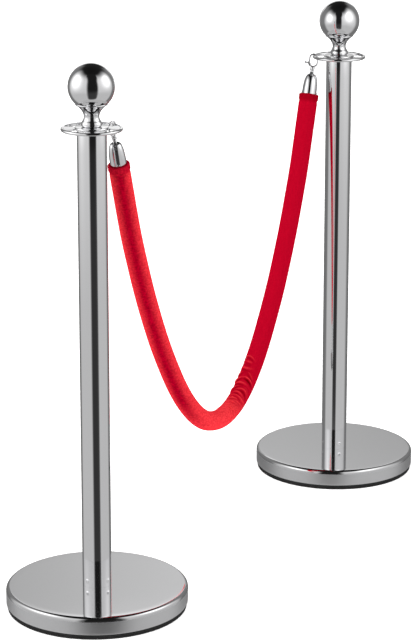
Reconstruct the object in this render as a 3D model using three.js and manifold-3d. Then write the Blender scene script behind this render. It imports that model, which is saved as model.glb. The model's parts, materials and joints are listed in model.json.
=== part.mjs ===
// A pair of rope posts joined by one velvet rope.
// Millimetres, +Z up. The origin is on the floor midway between the posts, and +X runs from post A to post B.
import * as THREE from "three";
import { mergeVertices } from "three/addons/utils/BufferGeometryUtils.js";
import Module from "manifold-3d";

const wasm = await Module();
wasm.setup();

// Driving dimensions of a post
const POST_SPACING = 880;
const POST_HEIGHT = 965;
const BALL_RADIUS = 40;
const BALL_WALL = 1.5;
const TUBE_RADIUS = 25.5;
const TUBE_WALL = 1.5;
const TUBE_TOP = 848;
const BASE_RADIUS = 160;
const BASE_HEIGHT = 40;
const SHEET = 1.5;
const STUD_RADIUS = 5;
const GAP = 0.3;

// Rope ring: height and radius of the bead's centre circle
const BEAD_HEIGHT = 853;
const BEAD_CIRCLE = 50;
const BEAD_RADIUS = 3;
const HUB_RADIUS = 28.5;
const SLOT_INNER = 30;
const SLOT_OUTER = 47.6;
const SLOT_HALF_ANGLE = 26;
const SLOT_COUNT = 4;

// Rope and its ends. Heights at an end are measured up its own axis from the bead's centre.
const ROPE_RADIUS = 18.5;
const VELVET_WALL = 1.7;
const CORE_RADIUS = 16.3;
const ROPE_SIDES = 8;
const ROPE_STEPS = 44;
const END_LEAN = 16.5;
const MOUTH = -80;
const HOOK_WIRE = 1.9;
const LOOP_RADIUS = 8;
const ARCH_CENTRE = -2.8;
const LOOP_BOTTOM = -11.5;
const NOSE_TIP = -6.6;
const PIVOT = [7.9, -13.2];
const CLEVIS_HEIGHT = -37.5;
const SLOT_FLOOR = -43.5;
const CLEVIS_SLOT = 6;
const CAP_RADIUS = 14.5;
const CAP_TOP = -33.5;
const SKIRT_END = -110;
const RIVET_HEIGHT = -72;

// Bearings in degrees, from +X towards +Y: the ring slot that a hook sits in, and the plane of its cap's slot
const ENDS = {
  a: { side: -1, hookBearing: -9, capBearing: 34 },
  b: { side: 1, hookBearing: 124, capBearing: 124 },
};

// The rope's route from its middle to one end, as [distance from the middle, height]
const HALF_ROUTE = [
  [51, 225.3],
  [91, 246],
  [129, 277],
  [165, 316.5],
  [198.5, 361.5],
  [229.5, 410],
  [258.5, 462],
  [285.5, 516.5],
  [310.5, 573],
  [333, 630.5],
  [352.5, 688],
];
const ROPE_LOWEST = 216;

const material = (color, roughness, metalness) =>
  new THREE.MeshStandardMaterial({ color, roughness, metalness });
const polished = material(0xd8dadc, 0.08, 1);
const plated = material(0xb4b6b8, 0.35, 0.9);
const cement = material(0x8c8a86, 0.9, 0);
const rubber = material(0x101010, 0.8, 0);
const plastic = material(0x2c2c2e, 0.6, 0);
const velvet = material(0xc00024, 0.9, 0);
const foam = material(0xd8d2c0, 0.95, 0);

const radians = (degrees) => (degrees * Math.PI) / 180;

// Geometry helpers

// A solid of revolution about Z, from a profile of [radius, height] that runs anticlockwise.
function turned(profile, segments = 20) {
  const points = profile.map(([r, z]) => new THREE.Vector2(r, z));
  return new THREE.LatheGeometry(points, segments).rotateX(Math.PI / 2);
}

// A ring or disc with a hole: the closed profile of a rectangle turned about Z.
function washer(inner, outer, low, high, segments = 20) {
  return turned([[inner, low], [outer, low], [outer, high], [inner, high], [inner, low]], segments);
}

function rod(radius, low, high, segments = 12) {
  return turned([[0, low], [radius, low], [radius, high], [0, high]], segments);
}

function block(x, y, z, cx = 0, cy = 0, cz = 0) {
  return new THREE.BoxGeometry(x, y, z).translate(cx, cy, cz);
}

// Points of an arc of a circle in a plane, both ends included.
function arc(cx, cy, radius, from, to, steps) {
  return Array.from({ length: steps + 1 }, (_, i) => {
    const angle = radians(from + ((to - from) * i) / steps);
    return [cx + radius * Math.cos(angle), cy + radius * Math.sin(angle)];
  });
}

function outline(points) {
  return new THREE.Shape(points.map(([x, y]) => new THREE.Vector2(x, y)));
}

function regular(radius, sides) {
  return arc(0, 0, radius, 0, 360 - 360 / sides, sides - 1);
}

// A flat plate with its outline in X and Z, standing between two Y positions.
function plate(points, low, high) {
  const geometry = new THREE.ExtrudeGeometry(outline(points), { depth: high - low, bevelEnabled: false });
  return geometry.rotateX(Math.PI / 2).translate(0, high, 0);
}

// The outline of a bar with round ends between two points.
function bar([x1, y1], [x2, y2], radius) {
  const along = (Math.atan2(y2 - y1, x2 - x1) * 180) / Math.PI;
  const head = arc(x2, y2, radius, along - 90, along + 90, 6);
  const tail = arc(x1, y1, radius, along + 90, along + 270, 6);
  return [...head, ...tail];
}

function swept(points, path, steps, hole) {
  const shape = outline(points);
  if (hole) shape.holes.push(new THREE.Path(hole.map(([x, y]) => new THREE.Vector2(x, y))));
  return new THREE.ExtrudeGeometry(shape, { steps, extrudePath: path, bevelEnabled: false });
}

function toSolid(geometry) {
  const flat = geometry.index ? geometry.toNonIndexed() : geometry;
  const bare = new THREE.BufferGeometry();
  bare.setAttribute("position", flat.getAttribute("position"));
  const merged = mergeVertices(bare, 1e-4);
  const vertProperties = merged.attributes.position.array;
  const triVerts = new Uint32Array(merged.index.array);
  return new wasm.Manifold(new wasm.Mesh({ numProp: 3, vertProperties, triVerts }));
}

function toGeometry(solid) {
  const { vertProperties, triVerts } = solid.getMesh();
  const geometry = new THREE.BufferGeometry();
  geometry.setAttribute("position", new THREE.BufferAttribute(vertProperties, 3));
  geometry.setIndex(new THREE.BufferAttribute(triVerts, 1));
  geometry.computeVertexNormals();
  return geometry;
}

function cut(body, ...tools) {
  return toGeometry(tools.reduce((left, tool) => left.subtract(toSolid(tool)), toSolid(body)));
}

function join(first, ...others) {
  return toGeometry(others.reduce((sum, piece) => sum.add(toSolid(piece)), toSolid(first)));
}

function put(group, name, geometry, look) {
  const mesh = new THREE.Mesh(geometry, look);
  mesh.name = name;
  group.add(mesh);
}

// Pieces of a post, about its own axis

const BALL_CENTRE = POST_HEIGHT - BALL_RADIUS;
const HOLE_RADIUS = STUD_RADIUS + GAP;

function ballTop() {
  const inner = BALL_RADIUS - BALL_WALL;
  const opening = (radius) => (-Math.acos(HOLE_RADIUS / radius) * 180) / Math.PI;
  return turned([
    ...arc(0, BALL_CENTRE, inner, 90, opening(inner), 5),
    ...arc(0, BALL_CENTRE, BALL_RADIUS, opening(BALL_RADIUS), 90, 10),
  ]);
}

// A spool: rounded foot, waist, and a flared cup that holds the ball.
function neck() {
  const cup = (r) => [r, BALL_CENTRE - Math.sqrt((BALL_RADIUS + GAP) ** 2 - r * r)];
  const foot = BEAD_HEIGHT + 4 + GAP;
  const bottom = [HOLE_RADIUS, foot];
  return turned([
    bottom,
    [15.5, foot],
    [17.8, 861],
    [17.2, 865.5],
    [14.2, 869.5],
    [13.2, 873.5],
    [13.9, 879],
    [17.4, 885.6],
    [22.5, 891],
    [27.7, 894.6],
    [27.7, 896.2],
    cup(26.9),
    cup(20),
    cup(12.5),
    cup(HOLE_RADIUS),
    bottom,
  ]);
}

// A low dish with a beaded rim and four kidney slots, the first centred on the hook's bearing.
function ropeRing(hookBearing) {
  const top = BEAD_HEIGHT + 4;
  const dish = turned(
    [
      [HOLE_RADIUS, BEAD_HEIGHT],
      [HUB_RADIUS - 2, BEAD_HEIGHT],
      [HUB_RADIUS, BEAD_HEIGHT - 1],
      ...arc(BEAD_CIRCLE, BEAD_HEIGHT, BEAD_RADIUS, -135, 135, 5),
      [HUB_RADIUS, top - 1],
      [HUB_RADIUS - 1, top],
      [HOLE_RADIUS, top],
      [HOLE_RADIUS, BEAD_HEIGHT],
    ],
    28,
  );
  const kidney = outline([
    ...arc(0, 0, SLOT_OUTER, -SLOT_HALF_ANGLE, SLOT_HALF_ANGLE, 6),
    ...arc(0, 0, SLOT_INNER, SLOT_HALF_ANGLE, -SLOT_HALF_ANGLE, 5),
  ]);
  const slots = Array.from({ length: SLOT_COUNT }, (_, i) =>
    new THREE.ExtrudeGeometry(kidney, { depth: 20, bevelEnabled: false })
      .translate(0, 0, BEAD_HEIGHT - 10)
      .rotateZ(radians(hookBearing + (360 / SLOT_COUNT) * i)),
  );
  return cut(dish, ...slots);
}

function topPlug() {
  const body = TUBE_RADIUS - TUBE_WALL - GAP;
  const top = BEAD_HEIGHT - GAP;
  return turned([
    [HOLE_RADIUS, TUBE_TOP - 20],
    [body, TUBE_TOP - 20],
    [body, TUBE_TOP + GAP],
    [TUBE_RADIUS, TUBE_TOP + GAP],
    [TUBE_RADIUS, top],
    [HOLE_RADIUS, top],
    [HOLE_RADIUS, TUBE_TOP - 20],
  ]);
}

function studNut() {
  return cut(rod(9.2, TUBE_TOP - 28.3, TUBE_TOP - 20.3, 6), rod(HOLE_RADIUS, TUBE_TOP - 40, TUBE_TOP));
}

const WEIGHT_LOW = 9;

// A spun shell with a rolled upper edge, open underneath. Its hem is level with the weight's underside.
function baseCover() {
  const hole = STUD_RADIUS + 0.5;
  const [hem, roll] = [WEIGHT_LOW, 8];
  const centre = [BASE_RADIUS - roll, BASE_HEIGHT - roll];
  return turned(
    [
      [BASE_RADIUS - 2.5, hem],
      [BASE_RADIUS - 1, hem],
      [BASE_RADIUS, hem + 3],
      ...arc(...centre, roll, 0, 90, 3),
      [hole, BASE_HEIGHT],
      [hole, BASE_HEIGHT - SHEET],
      ...arc(...centre, roll - SHEET, 90, 0, 2),
      [BASE_RADIUS - SHEET, hem + 3.2],
      [BASE_RADIUS - 2.5, hem],
    ],
    32,
  );
}

const COUNTERBORE = 18;

function baseWeight() {
  const [hole, outer] = [STUD_RADIUS + 0.5, BASE_RADIUS - 10];
  const top = BASE_HEIGHT - SHEET - GAP;
  return turned([
    [16, WEIGHT_LOW],
    [outer, WEIGHT_LOW],
    [outer, top],
    [hole, top],
    [hole, COUNTERBORE],
    [16, COUNTERBORE],
    [16, WEIGHT_LOW],
  ]);
}

// A hexagon-headed bolt that points up, through the washer, weight and cover into the tube's lower plug.
function baseBolt() {
  return join(rod(9, 9.5, 15.6, 6), rod(STUD_RADIUS, 15, 76));
}

function addPost(root, end, { side, hookBearing }) {
  const post = new THREE.Group();
  post.position.set((side * POST_SPACING) / 2, 0, 0);
  const tubeInner = TUBE_RADIUS - TUBE_WALL;
  const bore = tubeInner - GAP;
  const floor = BASE_HEIGHT + GAP;
  put(post, `ball_top_${end}`, ballTop(), polished);
  put(post, `neck_${end}`, neck(), polished);
  put(post, `rope_ring_${end}`, ropeRing(hookBearing), polished);
  put(post, `top_stud_${end}`, rod(STUD_RADIUS, TUBE_TOP - 33, BALL_CENTRE - 27), plated);
  put(post, `stud_nut_${end}`, studNut(), plated);
  put(post, `top_plug_${end}`, topPlug(), plated);
  put(post, `post_tube_${end}`, washer(tubeInner, TUBE_RADIUS, floor, TUBE_TOP), polished);
  put(post, `bottom_plug_${end}`, washer(HOLE_RADIUS, bore, floor + GAP, floor + 40), plated);
  put(post, `base_cover_${end}`, baseCover(), polished);
  put(post, `base_weight_${end}`, baseWeight(), cement);
  put(post, `base_washer_${end}`, washer(HOLE_RADIUS, 13, 15.9, 17.7, 16), plated);
  put(post, `base_bolt_${end}`, baseBolt(), plated);
  put(post, `rubber_ring_${end}`, washer(120, BASE_RADIUS - 2.5, 0, WEIGHT_LOW - GAP, 32), rubber);
  root.add(post);
}

// Rope

function anchor({ side, hookBearing }) {
  const bearing = radians(hookBearing);
  const x = (side * POST_SPACING) / 2 + BEAD_CIRCLE * Math.cos(bearing);
  return new THREE.Vector3(x, BEAD_CIRCLE * Math.sin(bearing), BEAD_HEIGHT);
}

const anchorA = anchor(ENDS.a);
const anchorB = anchor(ENDS.b);
const ropeMiddle = anchorA.clone().add(anchorB).multiplyScalar(0.5);
const ropeDirection = anchorB.clone().sub(anchorA).normalize();

function routePoint(along, height) {
  const point = ropeMiddle.clone().addScaledVector(ropeDirection, along);
  return point.setZ(height);
}

// One smooth curve from mouth to mouth, straight for the stretch that grips each end cap.
function ropeRoute() {
  const lean = radians(END_LEAN);
  const halfSpan = anchorA.distanceTo(anchorB) / 2;
  const onAxis = (up) => [halfSpan + up * Math.sin(lean), BEAD_HEIGHT + up * Math.cos(lean)];
  const half = [...HALF_ROUTE, onAxis(MOUTH - 35), onAxis(MOUTH - 17), onAxis(MOUTH)];
  const left = half.map(([u, z]) => routePoint(-u, z)).reverse();
  const right = half.map(([u, z]) => routePoint(u, z));
  return new THREE.CatmullRomCurve3([...left, routePoint(0, ROPE_LOWEST), ...right], false, "centripetal");
}

// The stretch of a curve between two shares of its length.
class Stretch extends THREE.Curve {
  constructor(whole, from, to) {
    super();
    Object.assign(this, { whole, from, to });
  }

  getPoint(t, target = new THREE.Vector3()) {
    return target.copy(this.whole.getPointAt(this.from + (this.to - this.from) * t));
  }
}

function addRope(root) {
  const route = ropeRoute();
  route.arcLengthDivisions = 2000;
  const inside = new Stretch(route, 1 / ROPE_STEPS, 1 - 1 / ROPE_STEPS);
  inside.arcLengthDivisions = 2000;
  const bore = regular(ROPE_RADIUS - VELVET_WALL, ROPE_SIDES);
  put(root, "velvet_sleeve", swept(regular(ROPE_RADIUS, ROPE_SIDES), route, ROPE_STEPS, bore), velvet);
  put(root, "foam_core", swept(regular(CORE_RADIUS, ROPE_SIDES), inside, ROPE_STEPS - 2), foam);
}

// Pieces of a rope end: +Z is up its axis, +X is outwards from the post in the plane of the hook's loop

function hookPath() {
  const points = [
    [LOOP_RADIUS, NOSE_TIP],
    ...arc(0, ARCH_CENTRE, LOOP_RADIUS, 0, 180, 7),
    [-LOOP_RADIUS, (ARCH_CENTRE + LOOP_BOTTOM) / 2],
    ...arc(0, LOOP_BOTTOM, LOOP_RADIUS, 180, 320, 5),
  ];
  return new THREE.CatmullRomCurve3(points.map(([x, z]) => new THREE.Vector3(x, 0, z)));
}

// A wire loop on a swivel barrel, with a forked lug for the gate.
function snapHook() {
  const loop = swept(regular(HOOK_WIRE, 7), hookPath(), 22);
  const barrel = turned(
    [[0, -22], [3.4, -22], [3.4, -25.8], [2.3, -25.8], [2.3, -27.6], [4.4, -27.6], [4.4, -19.6], [0, -19]],
    16,
  );
  const lug = plate(bar([5.4, -17], PIVOT, 2.4), -3.2, 3.2);
  const fork = block(12, 4.2, 7.3, 8, 0, -11.65);
  const pinHole = rod(1.1, -6, 6).rotateX(Math.PI / 2).translate(PIVOT[0], 0, PIVOT[1]);
  return join(cut(join(lug, loop), fork, pinHole), barrel);
}

function gateLever() {
  const [x, z] = PIVOT;
  const blade = plate(bar([x, z], [x, z + 4.8], 1.5), -1.8, 0);
  const heel = plate(arc(x, z, 2, 0, 330, 11), -1.8, 0);
  const tab = plate(bar([x + 1, z + 1.2], [x + 7, z + 0.5], 1.3), -1.8, 0);
  const knob = new THREE.SphereGeometry(2.3, 10, 6).translate(x + 7.4, -0.9, z + 0.5);
  const hole = rod(1.1, -6, 6).rotateX(Math.PI / 2).translate(x, 0, z);
  return cut(join(blade, heel, tab, knob), hole);
}

function gatePin() {
  return rod(0.8, -3.2, 3.2, 10).rotateX(Math.PI / 2).translate(PIVOT[0], 0, PIVOT[1]);
}

// Two turns of wire round the gate's pin.
function gateSpring() {
  const turns = 2;
  const points = Array.from({ length: 12 * turns + 1 }, (_, i) => {
    const angle = radians(30 * i);
    const [x, z] = [1.5 * Math.cos(angle), 1.5 * Math.sin(angle)];
    return new THREE.Vector3(PIVOT[0] + x, 0.5 + (0.6 * i) / 12, PIVOT[1] + z);
  });
  return swept(regular(0.25, 5), new THREE.CatmullRomCurve3(points), 24);
}

// A headed stud that turns in the barrel, with a flat eye below. Its eye lies in the XZ plane.
function swivelStud() {
  const top = turned(
    [[0, -31], [3.6, -31], [3.6, -28.2], [1.9, -28.2], [1.9, -25.4], [3, -25.4], [3, -22.3], [0, -22.3]],
    16,
  );
  const eye = plate(bar([0, CLEVIS_HEIGHT], [0, -32], 4.5), -2.5, 2.5);
  const trimmed = cut(eye, block(20, 20, 20, 0, 0, -30.5 + 10));
  const hole = rod(2.3, -10, 10).rotateX(Math.PI / 2).translate(0, 0, CLEVIS_HEIGHT);
  return cut(join(trimmed, top), hole);
}

function clevisPin() {
  return rod(2, -8.6, 8.6).rotateX(Math.PI / 2).translate(0, 0, CLEVIS_HEIGHT);
}

// A bullet cap: a solid slotted dome on a thin skirt. Its slot lies in the XZ plane.
function endCap() {
  const bore = CAP_RADIUS - 1.8;
  const shell = turned([
    [0, -48],
    [bore, -48],
    [bore, SKIRT_END],
    [CAP_RADIUS, SKIRT_END],
    [CAP_RADIUS, -72],
    [14.2, -62],
    [13.4, -52],
    [12.3, -45],
    [10.8, -39.5],
    [8.3, -35.6],
    [4.8, -33.9],
    [0, CAP_TOP],
  ]);
  const slot = block(40, CLEVIS_SLOT, 14, 0, 0, SLOT_FLOOR + 7);
  const pinHole = rod(2.3, -20, 20).rotateX(Math.PI / 2).translate(0, 0, CLEVIS_HEIGHT);
  return cut(shell, slot, pinHole, rivetHole());
}

function rivetHole() {
  return rod(1.8, -20, 20).rotateY(Math.PI / 2).translate(0, 0, RIVET_HEIGHT);
}

function ropePlug() {
  return cut(rod(CAP_RADIUS - 1.8 - GAP, SKIRT_END + 0.5, -48 - GAP, 20), rivetHole());
}

function capRivet() {
  const [shank, head] = [CAP_RADIUS + 0.2, CAP_RADIUS + 0.9];
  const profile = [[0, -head], [1.6, -head], [2.4, -shank], [1.5, -shank]];
  const mirrored = profile.map(([r, z]) => [r, -z]).reverse();
  return turned([...profile, ...mirrored], 12).rotateY(Math.PI / 2).translate(0, 0, RIVET_HEIGHT);
}

// A group with its Z axis along up and its X axis as near as it can be to the level bearing given.
function frameAt(origin, up, bearing) {
  const angle = radians(bearing);
  const level = new THREE.Vector3(Math.cos(angle), Math.sin(angle), 0);
  const x = level.addScaledVector(up, -level.dot(up)).normalize();
  const y = up.clone().cross(x);
  const group = new THREE.Group();
  group.quaternion.setFromRotationMatrix(new THREE.Matrix4().makeBasis(x, y, up));
  group.position.copy(origin);
  return group;
}

function addRopeEnd(root, end, { side, hookBearing, capBearing }, origin) {
  const lean = radians(END_LEAN);
  const up = ropeDirection.clone().multiplyScalar(side * Math.sin(lean));
  up.z = Math.cos(lean);
  const hook = frameAt(origin, up, hookBearing);
  put(hook, `snap_hook_${end}`, snapHook(), polished);
  put(hook, `gate_lever_${end}`, gateLever(), polished);
  put(hook, `gate_pin_${end}`, gatePin(), plated);
  put(hook, `gate_spring_${end}`, gateSpring(), plated);
  const cap = frameAt(origin, up, capBearing);
  put(cap, `swivel_stud_${end}`, swivelStud(), polished);
  put(cap, `clevis_pin_${end}`, clevisPin(), plated);
  put(cap, `end_cap_${end}`, endCap(), polished);
  put(cap, `rope_plug_${end}`, ropePlug(), plastic);
  put(cap, `cap_rivet_${end}`, capRivet(), plated);
  root.add(hook, cap);
}

const group = new THREE.Group();
addPost(group, "a", ENDS.a);
addPost(group, "b", ENDS.b);
addRope(group);
addRopeEnd(group, "a", ENDS.a, anchorA);
addRopeEnd(group, "b", ENDS.b, anchorB);

export default group;
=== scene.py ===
"""Looks for a pair of rope posts joined by a velvet rope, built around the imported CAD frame.

Positions are in metres in the row frame. A piece's own shape is given in millimetres about its own axis.
"""

import json
import math

import bmesh
import bpy
import numpy as np
from mathutils import Matrix, Vector


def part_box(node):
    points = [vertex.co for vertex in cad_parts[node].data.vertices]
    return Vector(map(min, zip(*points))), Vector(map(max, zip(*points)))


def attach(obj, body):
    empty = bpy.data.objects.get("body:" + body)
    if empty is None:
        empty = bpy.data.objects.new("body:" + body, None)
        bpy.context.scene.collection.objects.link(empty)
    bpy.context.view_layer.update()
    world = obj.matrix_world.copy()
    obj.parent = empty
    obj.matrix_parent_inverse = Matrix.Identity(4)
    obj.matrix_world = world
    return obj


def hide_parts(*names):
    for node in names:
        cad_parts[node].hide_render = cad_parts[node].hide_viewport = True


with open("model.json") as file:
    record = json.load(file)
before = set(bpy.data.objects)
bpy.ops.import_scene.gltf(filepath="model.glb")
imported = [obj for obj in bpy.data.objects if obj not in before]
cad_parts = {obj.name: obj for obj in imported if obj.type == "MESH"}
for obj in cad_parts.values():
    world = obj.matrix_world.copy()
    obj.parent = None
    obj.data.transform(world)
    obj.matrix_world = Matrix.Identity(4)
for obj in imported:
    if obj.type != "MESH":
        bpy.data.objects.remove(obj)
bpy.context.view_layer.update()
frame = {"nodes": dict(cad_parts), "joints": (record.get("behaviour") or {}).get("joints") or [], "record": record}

MM = 0.001
ENDS = ("a", "b")
COLOUR = {m["slot"]: tuple(m["base_color"][:3]) for m in frame["record"]["materials"]}
JOINT = {j["name"]: j for j in frame["joints"]}
scene = bpy.context.scene

# Turns that lay a piece made along z down along x or along y.
ALONG_X = Matrix.Rotation(math.pi / 2, 4, "Y")
ALONG_Y = Matrix.Rotation(math.pi / 2, 4, "X")


# Camera

# Where the camera stands: its distance and compass bearing from post A, in degrees, and its height.
CAMERA_DISTANCE = 3.896
CAMERA_BEARING = 214.04
CAMERA_HEIGHT = 1.609


def make_camera():
    """The main viewpoint: a long lens a little above the posts, shifted to frame both of them."""
    bearing, heading, pitch = math.radians(CAMERA_BEARING), math.radians(31.17), math.radians(-13.81)
    post = post_axis("a")
    data = bpy.data.cameras.new("camera")
    data.sensor_width = 36
    data.lens = 131.9
    data.shift_y = -0.1196
    camera = bpy.data.objects.new("camera", data)
    camera.location = (
        post.x + CAMERA_DISTANCE * math.cos(bearing),
        post.y + CAMERA_DISTANCE * math.sin(bearing),
        CAMERA_HEIGHT,
    )
    camera.rotation_euler = (math.pi / 2 + pitch, 0, heading - math.pi / 2)
    scene.collection.objects.link(camera)
    scene.camera = camera


# Places taken from the frame


def middle(node):
    low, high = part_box(node)
    return (low + high) / 2


def half_width(node):
    """Half of a round upright node's width, in millimetres."""
    low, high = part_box(node)
    return (high.x - low.x) / 2 / MM


def heights(node):
    """A node's lowest and highest point, in millimetres."""
    low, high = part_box(node)
    return low.z / MM, high.z / MM


def post_axis(end):
    centre = middle(f"post_tube_{end}")
    return Vector((centre.x, centre.y, 0))


def basis(origin, x, y, z):
    """The matrix that takes millimetres along x, y and z from origin to the row frame."""
    turn = Matrix((x, y, z)).transposed().to_4x4()
    return Matrix.Translation(origin) @ turn @ Matrix.Scale(MM, 4)


def post_place(end):
    return Matrix.Translation(post_axis(end)) @ Matrix.Scale(MM, 4)


def long_direction(node):
    """The direction in which a straight node is longest."""
    points = np.array([v.co for v in frame["nodes"][node].data.vertices])
    _, directions = np.linalg.eigh(np.cov((points - points.mean(0)).T))
    return Vector(directions[:, -1]).normalized()


def hook_place(end):
    """A hook's own frame: its origin on the ring's bead, z up the rope end, and its loop in the xz plane."""
    swivel, gate = JOINT[f"hook_swivel_{end}"], JOINT[f"gate_swing_{end}"]
    up = Vector(swivel["axis"]).normalized()
    across = -Vector(gate["axis"]).normalized()
    return basis(Vector(swivel["pos_m"]), across.cross(up), across, up)


def cap_place(end):
    """An end cap's own frame: the same origin and z, with the clevis pin along y."""
    swivel = JOINT[f"hook_swivel_{end}"]
    up = Vector(swivel["axis"]).normalized()
    pin = long_direction(f"clevis_pin_{end}")
    return basis(Vector(swivel["pos_m"]), pin.cross(up), pin, up)


# Outlines


def arc(cx, cy, radius, start, stop, steps):
    """Points of an arc from start to stop, both included, in degrees."""
    angles = np.radians(np.linspace(start, stop, steps + 1))
    return [(cx + radius * math.cos(a), cy + radius * math.sin(a)) for a in angles]


def spline(points, steps):
    """A smooth curve through points of any dimension, as centripetal Catmull-Rom pieces."""
    p = np.array(points, float)
    p = np.vstack([2 * p[0] - p[1], p, 2 * p[-1] - p[-2]])
    out = [p[1]]
    for p0, p1, p2, p3 in zip(p, p[1:], p[2:], p[3:]):
        d0, d1, d2 = (np.linalg.norm(b - a) ** 0.5 for a, b in ((p0, p1), (p1, p2), (p2, p3)))
        m1 = ((p1 - p0) / d0 - (p2 - p0) / (d0 + d1) + (p2 - p1) / d1) * d1
        m2 = ((p2 - p1) / d1 - (p3 - p1) / (d1 + d2) + (p3 - p2) / d2) * d1
        for t in np.linspace(0, 1, steps + 1)[1:]:
            a = 2 * t**3 - 3 * t**2 + 1
            out.append(a * p1 + (1 - a) * p2 + (t**3 - 2 * t**2 + t) * m1 + (t**3 - t**2) * m2)
    return [tuple(q) for q in out]


def rounded_bar(x1, y1, x2, y2, radius, steps=10):
    """The outline of a bar with round ends between two points."""
    along = math.degrees(math.atan2(y2 - y1, x2 - x1))
    head = arc(x2, y2, radius, along - 90, along + 90, steps)
    return head + arc(x1, y1, radius, along + 90, along + 270, steps)


# Mesh building


def mesh_object(name, vertices, faces):
    mesh = bpy.data.meshes.new(name)
    mesh.from_pydata([tuple(v) for v in vertices], [], faces)
    obj = bpy.data.objects.new(name, mesh)
    scene.collection.objects.link(obj)
    return obj


def edit(obj, work):
    """Runs work on the object's bmesh."""
    bm = bmesh.new()
    bm.from_mesh(obj.data)
    work(bm)
    bm.to_mesh(obj.data)
    bm.free()
    obj.data.update()


def clean(bm):
    bmesh.ops.remove_doubles(bm, verts=bm.verts, dist=1e-4)
    bmesh.ops.recalc_face_normals(bm, faces=bm.faces)


def thicken(bm, way):
    """Gives flat faces a thickness, by the vector way."""
    made = bmesh.ops.extrude_face_region(bm, geom=bm.faces[:])
    lifted = [v for v in made["geom"] if isinstance(v, bmesh.types.BMVert)]
    bmesh.ops.translate(bm, verts=lifted, vec=way)
    bmesh.ops.recalc_face_normals(bm, faces=bm.faces)


def write_attribute(obj, name, values):
    """Stores one number for each vertex, which a material reads."""
    attribute = obj.data.attributes.new(name, "FLOAT", "POINT")
    attribute.data.foreach_set("value", np.ravel(values).astype(np.float32))


def smooth(obj, angle=35):
    obj.data.shade_smooth()
    obj.data.set_sharp_from_angle(angle=math.radians(angle))


def tube_of_rings(name, rings):
    """A skin of quads over successive closed rings of points. Rings of no size close an end."""
    rings = np.array(rings)
    count, around = rings.shape[:2]
    faces = []
    for low in range(0, (count - 1) * around, around):
        for j in range(around):
            k = (j + 1) % around
            faces.append((low + j, low + k, low + around + k, low + around + j))
    obj = mesh_object(name, rings.reshape(-1, 3), faces)
    edit(obj, clean)
    return obj


def lathe(name, profile, segments):
    """A solid of revolution about z, from a profile of (radius, height) that starts and ends on the axis
    or closes on itself."""
    angles = np.linspace(0, 2 * math.pi, segments, endpoint=False)
    around = np.stack([np.cos(angles), np.sin(angles)], 1)
    rings = [np.column_stack([r * around, np.full(segments, z)]) for r, z in profile]
    return tube_of_rings(name, rings)


def washer(name, inner, outer, low, high, edge=0.3, segments=96):
    """A disc with a hole and softened edges."""
    profile = [
        *arc(outer - edge, low + edge, edge, -90, 0, 3),
        *arc(outer - edge, high - edge, edge, 0, 90, 3),
        *arc(inner + edge, high - edge, edge, 90, 180, 3),
        *arc(inner + edge, low + edge, edge, 180, 270, 3),
    ]
    return lathe(name, profile + profile[:1], segments)


def directions_along(path):
    """The direction of a line of points at each of them, as unit vectors."""
    tangents = np.gradient(path, axis=0)
    return tangents / np.linalg.norm(tangents, axis=1)[:, None]


def sweep(name, path, radii, sides):
    """A round bar along a path of points, with a radius at each."""
    path = np.array(path, float)
    tangents = directions_along(path)
    normal = np.cross(tangents[0], [0, 1, 0] if abs(tangents[0][1]) < 0.9 else [1, 0, 0])
    angles = np.linspace(0, 2 * math.pi, sides, endpoint=False)
    rings = []
    for point, tangent, radius in zip(path, tangents, radii):
        normal = normal - tangent * (normal @ tangent)
        normal /= np.linalg.norm(normal)
        side = np.cross(tangent, normal)
        ring = np.outer(np.cos(angles), normal) + np.outer(np.sin(angles), side)
        rings.append(point + radius * ring)
    return tube_of_rings(name, rings)


def slab(name, outline, low, high):
    """A flat plate: an outline in x and z, from y = low to y = high."""
    obj = mesh_object(name, [(x, low, z) for x, z in outline], [list(range(len(outline)))])
    edit(obj, lambda bm: thicken(bm, (0, high - low, 0)))
    return obj


def pin(name, radius, low, high, turn, centre, segments=48, edge=0.4):
    """A round pin with softened ends, along z before it is turned."""
    profile = [
        (0, low),
        *arc(radius - edge, low + edge, edge, -90, 0, 4),
        *arc(radius - edge, high - edge, edge, 0, 90, 4),
        (0, high),
    ]
    obj = lathe(name, profile, segments)
    obj.data.transform(Matrix.Translation(centre) @ turn)
    return obj


def apply_modifier(obj, modifier):
    with bpy.context.temp_override(object=obj, active_object=obj):
        bpy.ops.object.modifier_apply(modifier=modifier.name)


def combine(obj, others, operation):
    """Applies a Boolean operation with each of the others, and deletes them."""
    for other in others:
        modifier = obj.modifiers.new("combine", "BOOLEAN")
        modifier.operation = operation
        modifier.solver = "EXACT"
        modifier.object = other
        apply_modifier(obj, modifier)
        bpy.data.objects.remove(other)


def carve(obj, *tools):
    combine(obj, tools, "DIFFERENCE")


def weld(obj, *others):
    combine(obj, others, "UNION")


def round_edges(obj, width, segments, angle):
    """Rounds the edges that are sharper than an angle in degrees."""
    modifier = obj.modifiers.new("round", "BEVEL")
    modifier.width = width
    modifier.segments = segments
    modifier.limit_method = "ANGLE"
    modifier.angle_limit = math.radians(angle)
    apply_modifier(obj, modifier)


def wear(obj, look):
    """Gives an object one of the looks all over."""
    obj.data.materials.clear()
    obj.data.materials.append(LOOKS[look])


def finish_piece(obj, place, body, slot, look, *nodes):
    """Puts a piece made in millimetres in its place, on its body, instead of its CAD nodes."""
    obj.data.transform(place)
    smooth(obj)
    wear(obj, look)
    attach(obj, body)
    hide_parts(*nodes)
    return obj


# Materials


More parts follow.
